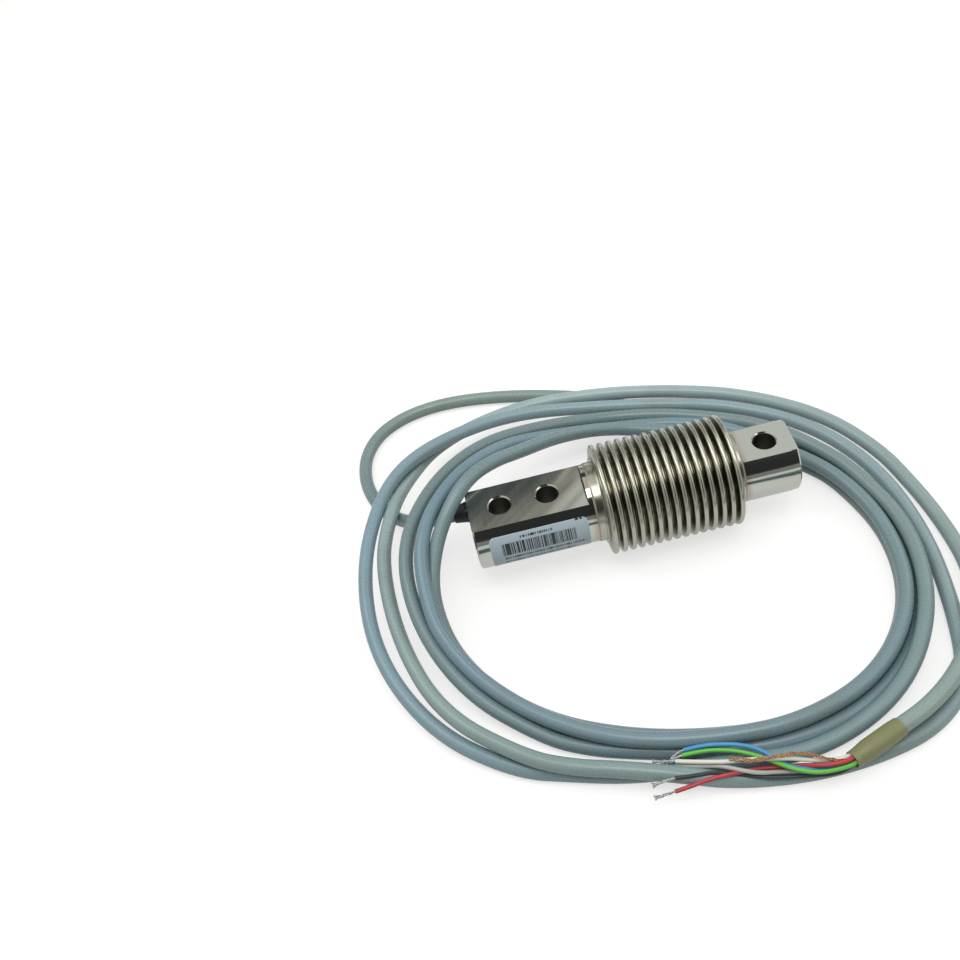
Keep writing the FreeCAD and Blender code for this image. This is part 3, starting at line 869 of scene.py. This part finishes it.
@dataclass
class SignalCable:
    """The screened cable from the gland, round its loose coil to the shrink sleeve. Sizes in millimetres.

    Attributes:
        diameter: Outside of the jacket.
        length: Length of the whole route. Not used.
        sides: Sides round the jacket.
        steps: Steps of the spline for each control point.
        centre: Middle of the coil on the floor.
        standoff: How far the control points stand outside the strand that they draw.
        lead: Control points from the gland to the coil.
        turns: Stations of the coil's turns: angle in degrees, radius, height.
        tail: Control points from the coil into the sleeve.
    """

    diameter: float = 5.5
    length: float = 3186.0
    sides: int = 20
    steps: int = 10
    centre: Pair = (0.0, -18.0)
    standoff: float = 1.015
    lead: tuple[Point, ...] = (
        (-60, 10, 21), (-68, 10, 21), (-76.5, 11.2, 19.8), (-83.4, 16.2, 15.4),
        (-89.3, 24.2, 9.4), (-95.6, 34, 4.9), (-100.8, 45.5, 3.2), (-103.3, 58, 2.8),
        (-101.8, 71.5, 2.8), (-95, 83, 2.8), (-83.5, 90, 2.8), (-70.5, 92.7, 2.8),
        (-57, 92.3, 2.8), (-43.5, 89.8, 2.8), (-30.5, 86.2, 2.8), (-17.5, 81.5, 2.8),
        (-4.5, 76, 2.8), (9, 68, 2.8),
    )
    turns: tuple[tuple[Point, ...], ...] = (
        (
            (70, 73, 2.8), (60, 67.6, 2.8), (50, 63.8, 2.8), (40, 65.6, 2.8), (30, 70.2, 2.8),
            (20, 74.8, 2.8), (10, 79.5, 2.8), (-10, 86.8, 2.8), (-30, 91.2, 2.8), (-50, 89.6, 2.8),
            (-70, 83, 2.8), (-90, 75, 2.8), (-110, 72.6, 2.8), (-130, 74.2, 2.8), (-148, 77, 4.2),
            (-160, 79.4, 8.1), (-170, 80, 12.2), (-180, 79.2, 18), (-190, 75, 25.6), (-200, 69.6, 32.4),
            (-210, 65, 35), (-220, 59.9, 33.8), (-230, 56.6, 30), (-250, 58.1, 21.5), (-270, 60.6, 13.5),
        ),
        (
            (70, 59.2, 9.8), (50, 63, 8.6), (30, 70, 8.2), (10, 78.9, 8.1), (-10, 85.8, 8.1),
            (-30, 91.3, 8.2), (-50, 90.8, 8.1), (-70, 85, 8.1), (-90, 78.2, 8), (-110, 76.8, 8),
            (-130, 77, 8.3), (-148, 79, 10.8), (-160, 81.2, 15.4), (-170, 82.4, 20), (-190, 81.8, 27.9),
            (-210, 75, 29.7), (-230, 69, 25.8), (-250, 65.3, 16), (-270, 65.6, 7.8),
        ),
        (
            (70, 64.6, 8.1), (60, 65.8, 8), (50, 68.2, 7.4), (40, 71.3, 5.2), (30, 75.8, 3.1),
            (20, 80.2, 2.8), (10, 85, 2.8), (-10, 92.3, 2.8), (-30, 96.7, 2.8), (-50, 95, 2.8),
            (-70, 88.4, 2.8), (-90, 80.5, 2.8), (-110, 77.7, 2.8), (-120, 78.9, 2.8), (-130, 80.4, 3.4),
            (-150, 85, 8.7), (-170, 87.8, 16.6), (-190, 89, 23.2), (-210, 84.2, 24.6), (-230, 79.4, 21.5),
            (-250, 72.5, 15.5), (-270, 71.1, 8.8),
        ),
        (
            (70, 70.1, 8.4), (50, 73.4, 6.9), (40, 75.8, 7.4), (30, 78, 8.2), (20, 80.6, 8.3),
            (10, 84.4, 8.3), (-10, 92.6, 8.2), (-30, 97.4, 8.2), (-50, 99.2, 6.6), (-70, 93.9, 2.9),
            (-88, 85.7, 4.7), (-100, 84.5, 2.8), (-110, 86.2, 2.8), (-120, 88.6, 2.8), (-132, 95, 2.8),
            (-150, 102, 5.3), (-170, 105.8, 9), (-190, 106.6, 13.4), (-208, 106.4, 16.8),
            (-220, 103.6, 17.4), (-235, 95.6, 14.4), (-250, 87.4, 12), (-270, 78.4, 8.6),
        ),
        (
            (70, 75.9, 8.2), (50, 83.6, 4.6), (30, 91.8, 2.8), (10, 95.6, 2.8), (-10, 98.5, 2.8),
            (-28, 104.4, 2.8), (-42, 113.2, 2.8), (-52, 112, 2.8), (-62, 105.6, 2.8), (-74, 98.3, 2.8),
            (-88, 91.3, 3.3), (-99, 88, 7.9), (-110, 86.7, 8.3), (-120, 89, 8.4), (-130, 91.6, 8.4),
            (-150, 96.3, 9), (-170, 96.1, 11), (-190, 98.6, 14), (-202, 99.2, 16), (-214, 102.4, 12),
            (-230, 105, 8.4), (-250, 96.2, 8.3), (-270, 86.6, 8.6),
        ),
        ((70, 86.2, 6), (50, 92.3, 3.5), (30, 99, 2.8), (14, 101.6, 2.8)),
    )
    tail: tuple[Point, ...] = (
        (104, -14, 2.8), (105.7, -27, 2.8), (106.2, -40, 3), (105, -53, 4.6),
        (101.4, -65.5, 7.2), (95.4, -77.5, 8.8), (87.6, -88.3, 9.1), (78, -97.3, 9.1),
        (67, -104.1, 9.1), (56.3, -108.3, 9.1), (44, -113.1, 9.1),
    )

    def station(self, angle: float, radius: float, height: float) -> Point:
        """Gives a turn's control point.

        Args:
            angle: Direction from the coil's middle, in degrees.
            radius: Distance of the strand from the middle.
            height: Height of the strand's axis.

        Returns:
            The control point.
        """
        reach = radius * self.standoff
        turn = math.radians(angle)
        return self.centre[0] + reach * math.cos(turn), self.centre[1] + reach * math.sin(turn), height

    def build(self, nodes: Mapping[str, Piece]) -> None:
        """Args:
            nodes: The CAD nodes by name. Not used.
        """
        coil = [self.station(*station) for turn in self.turns for station in turn]
        route = [*self.lead, *coil, *self.tail]
        cable = spline_curve("signal_cable", [route], self.diameter, self.sides, self.steps)
        cable.data.materials.append(JACKET.material())
        link(cable, Slot.JACKET, "cable_lead", "cable_coil", "cable_tail", "cable_entry", "cable_end")


@dataclass
class CoreEnds:
    """The six cores and the shield that come out of the shrink sleeve. Sizes in millimetres.

    Attributes:
        circle: Radius of the circle that the cores lie on inside the jacket.
        jacket_end: Middle of the jacket's end, inside the sleeve.
        mouth: Middle of the sleeve's mouth.
        back: Level direction across the sleeve, away from the camera.
        angles: Place of each core on the circle, in degrees from that direction.
        routes: Control points of each core past the sleeve's mouth.
        tips: How far each core's bare tip reaches past its insulation.
        shield: Control points of the shield past the sleeve's mouth.
    """

    diameter: float = 1.4
    sides: int = 12
    steps: int = 8
    strand_diameter: float = 0.3
    strand_sides: int = 8
    strand_steps: int = 3
    circle: float = 1.5
    jacket_end: Point = (44.01, -113.12, 9.1)
    mouth: Point = (38.43, -115.32, 9.1)
    back: Pair = (-0.3654, 0.9309)
    angles: dict[Core, float] = field(
        default_factory=lambda: {
            Core.BLUE: 340.0, Core.GREEN: 160.0, Core.WHITE: 40.0,
            Core.GREY: 285.0, Core.BLACK: 225.0, Core.RED: 95.0,
        }
    )
    routes: dict[Core, tuple[Point, ...]] = field(
        default_factory=lambda: {
            Core.BLUE: (
                (31.5, -115.3, 7.7), (27, -114.9, 7.9), (23.1, -113.9, 8.3), (20, -112.3, 8.4),
                (16.8, -109.8, 8.3), (14, -105.8, 8.8), (8.5, -102.6, 9.8), (1.4, -100.7, 10.1),
                (-4.4, -99.4, 9.4), (-9.9, -99, 8.3),
            ),
            Core.GREEN: (
                (35, -117.2, 9.5), (28, -117.1, 9.6), (22.3, -115.1, 9.7), (17.3, -111.6, 9.6),
                (12.4, -107.4, 9), (6.9, -104.1, 9), (1.1, -102.1, 9.2), (-5, -100.9, 8.9),
                (-10.8, -100.5, 8),
            ),
            Core.WHITE: (
                (34, -113.9, 9), (27.7, -113, 9.6), (21.7, -110.9, 10.1), (15.2, -109.7, 11),
                (8.9, -108.1, 10.3), (1.5, -106.5, 9.2), (-6, -104.6, 9.1), (-13.4, -102.3, 8.8),
            ),
            Core.GREY: (
                (32, -116.3, 6.4), (26, -114.6, 6.4), (20, -113.2, 6.5), (15, -112.3, 6.9),
                (11, -112.2, 8.2), (7.4, -111.4, 9.2), (3.5, -109.2, 8.9), (-1.1, -106.4, 7.7),
                (-7.6, -104.7, 7.2), (-14.4, -103.2, 7.4),
            ),
            Core.BLACK: (
                (33, -117.6, 7.4), (26, -116.1, 6.5), (19.4, -114.8, 6.4), (12.5, -113.3, 6.3),
                (4.6, -110.2, 6.3), (-2.2, -108.3, 7.7), (-9, -108.5, 8.9), (-15.2, -108, 9.4),
            ),
            Core.RED: (
                (34, -116, 10.7), (29.2, -115.4, 10.6), (25.3, -113.4, 8.6), (21.5, -111.8, 7),
                (16.4, -110.9, 6.8), (9.5, -110, 7.2), (1.2, -110.3, 8.2), (-4.5, -110, 7.7),
                (-11.2, -110.8, 7.2), (-16.1, -110.9, 6.4),
            ),
        }
    )
    tips: dict[Core, Point] = field(
        default_factory=lambda: {
            Core.BLUE: (-5.8, -2.4, -0.4), Core.GREEN: (-6.2, -1.6, 0.2), Core.WHITE: (-7.2, 1.6, 0.2),
            Core.GREY: (-7.4, -1.0, 0.8), Core.BLACK: (-7.4, -0.6, -0.4), Core.RED: (-6.8, -0.6, 0.0),
        }
    )
    tip_winding: Winding = Winding(count=6, radius=0.3, pitch=5.0, fray=1.8)
    tip_steps: int = 3
    shield: tuple[Point, ...] = (
        (33.5, -114.7, 10.1), (29.5, -113.4, 11.8), (26.1, -111.7, 12.1), (22.4, -110.1, 11.8),
        (18, -110, 12.2), (12, -109.6, 12), (7.3, -109, 11.4), (2.7, -106.3, 10.6),
    )
    shield_diameter: float = 1.4
    shield_winding: Winding = Winding(count=5, radius=0.36, pitch=8.0, fray=1.6)
    shield_steps: int = 5

    def start(self, core: Core) -> list[Point]:
        """Gives a core's two points inside the sleeve.

        Args:
            core: The core.

        Returns:
            Its place where the jacket ends and in the sleeve's mouth.
        """
        turn = math.radians(self.angles[core])
        across = self.circle * math.cos(turn)
        up = self.circle * math.sin(turn)
        return [
            (x + across * self.back[0], y + across * self.back[1], z + up)
            for x, y, z in (self.jacket_end, self.mouth)
        ]

    def tip(self, core: Core) -> list[list[Point]]:
        """Winds a core's stripped strands past its insulation.

        Args:
            core: The core.

        Returns:
            Control points of each strand.
        """
        before, last = (Vector(point) for point in self.routes[core][-2:])
        ahead = (last - before).normalized()
        reach = Vector(self.tips[core])
        places = (last - ahead, last + ahead, last + ahead + reach / 2, last + reach)
        line = spline_points([tuple(place) for place in places], self.tip_steps)
        return self.tip_winding.strands(line)

    def strand_wires(self, name: str, routes: Sequence[Sequence[Point]]) -> Piece:
        """Makes bare strands, not yet in the scene."""
        return spline_curve(name, routes, self.strand_diameter, self.strand_sides, self.strand_steps)

    def build(self) -> None:
        """Makes the cores with their stripped tips, and the shield."""
        tinned = TINNED.material()
        for core, points in self.routes.items():
            route = [*self.start(core), *points]
            wire = spline_curve(f"core_wire_{core.value}", [route], self.diameter, self.sides, self.steps)
            wire.data.materials.append(INSULATION[core].material())
            link(wire, core.slot, f"core_{core.value}")
            strands = self.strand_wires(f"tip_strands_{core.value}", self.tip(core))
            strands.data.materials.append(tinned)
            link(strands, Slot.TINNED, f"tip_{core.value}")
        self.build_shield()

    def build_shield(self) -> None:
        """Makes the loosely twisted shield."""
        line = spline_points([self.jacket_end, self.mouth, *self.shield], self.shield_steps)
        wires = self.strand_wires("shield_wires", self.shield_winding.strands(line))
        mesh = bpy.data.meshes.new_from_object(wires)
        mesh.materials.append(COPPER.material())
        bpy.data.curves.remove(wires.data)
        braid = link(bpy.data.objects.new("shield_braid", mesh), Slot.SHIELD, "shield_strands")


@dataclass(frozen=True)
class CadDress:
    """Finishes of the CAD nodes whose shape stays."""

    finishes: tuple[tuple[Finish, tuple[str, ...]], ...] = (
        (STEEL_BEAM, ("beam_body",)),
        (STEEL_WELD, ("weld_bead_clamped", "weld_bead_load")),
        (LABEL, ("label_sheet",)),
        (FOIL, ("gauge_top_clamped", "gauge_top_load", "gauge_bottom_clamped", "gauge_bottom_load")),
        (LAMINATE, ("trim_board",)),
        (CERAMIC, ("trim_resistor_upper", "trim_resistor_lower")),
        (CORE_HARNESS, ("core_bundle",)),
        (PLATED, ("gland_bushing",)),
        (SEAL, ("gland_seal",)),
        (BOOT, ("gland_boot",)),
        (SLEEVE, ("shrink_sleeve",)),
    )

    def dress(self, nodes: Mapping[str, Piece]) -> None:
        """Gives each node its finish.

        Args:
            nodes: The CAD nodes by name.
        """
        for finish, names in self.finishes:
            material = finish.material()
            for name in names:
                mesh = nodes[name].data
                mesh.materials.clear()
                mesh.materials.append(material)
                LOG.info("dressed %s in %s", name, finish.name)


@dataclass
class Studio:
    """Floor, soft lights, room and camera. Sizes in metres, the sensor's in millimetres.

    Attributes:
        floor_glow: How much the floor glows to the eye, so that it shows white.
        mirrored_glow: Share of that glow in the metal.
        softboxes: Name, place, size and watts of each soft light.
        backdrop_colour: Colour behind the floor, to the eye.
        walls: Direction of each wall and its shades, by how squarely a ray meets it.
        eye: Place of the camera.
        right: Direction to the right in the picture.
        down: Direction downwards in the picture.
    """

    floor_half: float = 4.0
    floor_colour: str = "#acacaa"
    floor_roughness: float = 0.9
    floor_glow: float = 0.64
    mirrored_glow: float = 0.7
    softboxes: tuple[tuple[str, Point, float, float], ...] = (
        ("key_softbox", (0.0, -0.22, 1.0), 0.45, 2.7),
        ("left_softbox", (-0.42, 0.18, 0.85), 0.5, 1.8),
        ("fill_softbox", (0.75, -0.35, 0.8), 0.6, 1.1),
        ("back_softbox", (0.95, 0.5, 0.75), 0.6, 1.2),
    )
    room_colour: str = "#efefec"
    backdrop_colour: str = "#fafaf8"
    walls: tuple[tuple[Point, Stops], ...] = (
        ((0.0, 0.0, 1.0), ((0.0, "#8a8a86"), (0.5, "#ffffff"))),
        (
            (0.1, -0.8, 0.59),
            ((0.0, "#ffffff"), (0.88, "#f4f4f2"), (0.915, "#484b4b"), (1.0, "#393c3c")),
        ),
        (
            (-0.084, 0.786, 0.611),
            (
                (0.0, "#ffffff"), (0.969, "#ffffff"), (0.9735, "#cdb89c"), (0.9765, "#525b60"),
                (1.0, "#485157"),
            ),
        ),
    )
    eye: Point = (-0.0438, -0.2484, 0.3134)
    right: Point = (0.971, -0.1563, -0.1811)
    down: Point = (-0.2377, -0.7141, -0.6584)
    focal_pixels: float = 1016.0
    image_pixels: float = 960.0
    sensor: float = 36.0
    clip_start: float = 0.01

    def build_floor(self) -> None:
        """Lays a pale floor that glows a little to the eye and in the metal, and keeps shadows."""
        shape = bmesh.new()
        bmesh.ops.create_grid(shape, x_segments=1, y_segments=1, size=self.floor_half)
        mesh = bpy.data.meshes.new("floor")
        shape.to_mesh(mesh)
        shape.free()
        floor = bpy.data.objects.new("floor", mesh)
        bpy.context.scene.collection.objects.link(floor)
        material = bpy.data.materials.new("Paper sweep, matt")
        material.use_nodes = True
        tree = material.node_tree
        shader = tree.nodes["Principled BSDF"]
        shader.inputs["Base Color"].default_value = linear(self.floor_colour)
        shader.inputs["Roughness"].default_value = self.floor_roughness
        path = add_node(tree, "LightPath")
        seen: Any = path.outputs["Is Camera Ray"]
        for ray, share in (("Is Glossy Ray", self.mirrored_glow), ("Is Transmission Ray", 1.0)):
            part = add_node(tree, "Math", {0: path.outputs[ray], 1: share}, operation="MULTIPLY")
            seen = add_node(tree, "Math", {0: seen, 1: part}, operation="MAXIMUM")
        glow = add_node(tree, "Math", {0: seen, 1: self.floor_glow}, operation="MULTIPLY")
        shader.inputs["Emission Color"].default_value = linear("#ffffff")
        tree.links.new(glow.outputs["Value"], shader.inputs["Emission Strength"])
        mesh.materials.append(material)

    def build_lights(self) -> None:
        """Hangs the softboxes, each turned to the middle of the floor."""
        for name, place, size, power in self.softboxes:
            lamp = bpy.data.lights.new(name, "AREA")
            lamp.size = size
            lamp.energy = power
            light = bpy.data.objects.new(name, lamp)
            light.location = place
            light.rotation_euler = (-Vector(place)).to_track_quat("-Z", "Y").to_euler()
            bpy.context.scene.collection.objects.link(light)

    def build_room(self) -> None:
        """Sets the room's even light, with the dark walls that the metal mirrors."""
        world = bpy.data.worlds.new("studio_room")
        world.use_nodes = True
        tree = world.node_tree
        room = tree.nodes["Background"]
        place = add_node(tree, "TexCoord")
        shade: Any = linear(self.room_colour)
        for towards, stops in self.walls:
            facing = add_node(
                tree,
                "VectorMath",
                {0: place.outputs["Generated"], 1: Vector(towards).normalized()},
                operation="DOT_PRODUCT",
            )
            wall = add_node(tree, "ValToRGB", {"Fac": facing}, stops)
            shade = add_node(
                tree,
                "Mix",
                {"Factor": 1.0, "A": shade, "B": wall},
                data_type="RGBA",
                blend_type="MULTIPLY",
            )
        path = add_node(tree, "LightPath")
        behind = add_node(
            tree,
            "Mix",
            {"Factor": path.outputs["Is Camera Ray"], "A": shade, "B": linear(self.backdrop_colour)},
            data_type="RGBA",
        )
        tree.links.new(behind.outputs["Result"], room.inputs["Color"])
        room.inputs["Strength"].default_value = 1.0
        bpy.context.scene.world = world

    def build_camera(self) -> None:
        """Places the camera at the photograph's viewpoint."""
        lens = bpy.data.cameras.new("camera")
        lens.sensor_width = self.sensor
        lens.lens = self.focal_pixels / self.image_pixels * self.sensor
        lens.clip_start = self.clip_start
        camera = bpy.data.objects.new("camera", lens)
        right = Vector(self.right).normalized()
        up = -Vector(self.down)
        up = (up - right * up.dot(right)).normalized()
        back = right.cross(up)
        turn = Matrix((right, up, back)).transposed().to_4x4()
        camera.matrix_world = Matrix.Translation(self.eye) @ turn
        bpy.context.scene.collection.objects.link(camera)
        bpy.context.scene.camera = camera

    def build(self) -> None:
        """Sets the whole stage and the plain view transform."""
        self.build_floor()
        self.build_lights()
        self.build_room()
        self.build_camera()
        bpy.context.scene.view_settings.view_transform = "Standard"


def main() -> None:
    """Loads the frame, sets the stage, and makes and dresses each sub-assembly."""
    logging.basicConfig(level=logging.INFO, format="%(name)s: %(message)s")
    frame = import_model()
    nodes = frame["nodes"]
    Studio().build()
    CadDress().dress(nodes)
    SignalCable().build(nodes)
    CoreEnds().build()
    Bellows().build()


if __name__ == "__main__":
    main()
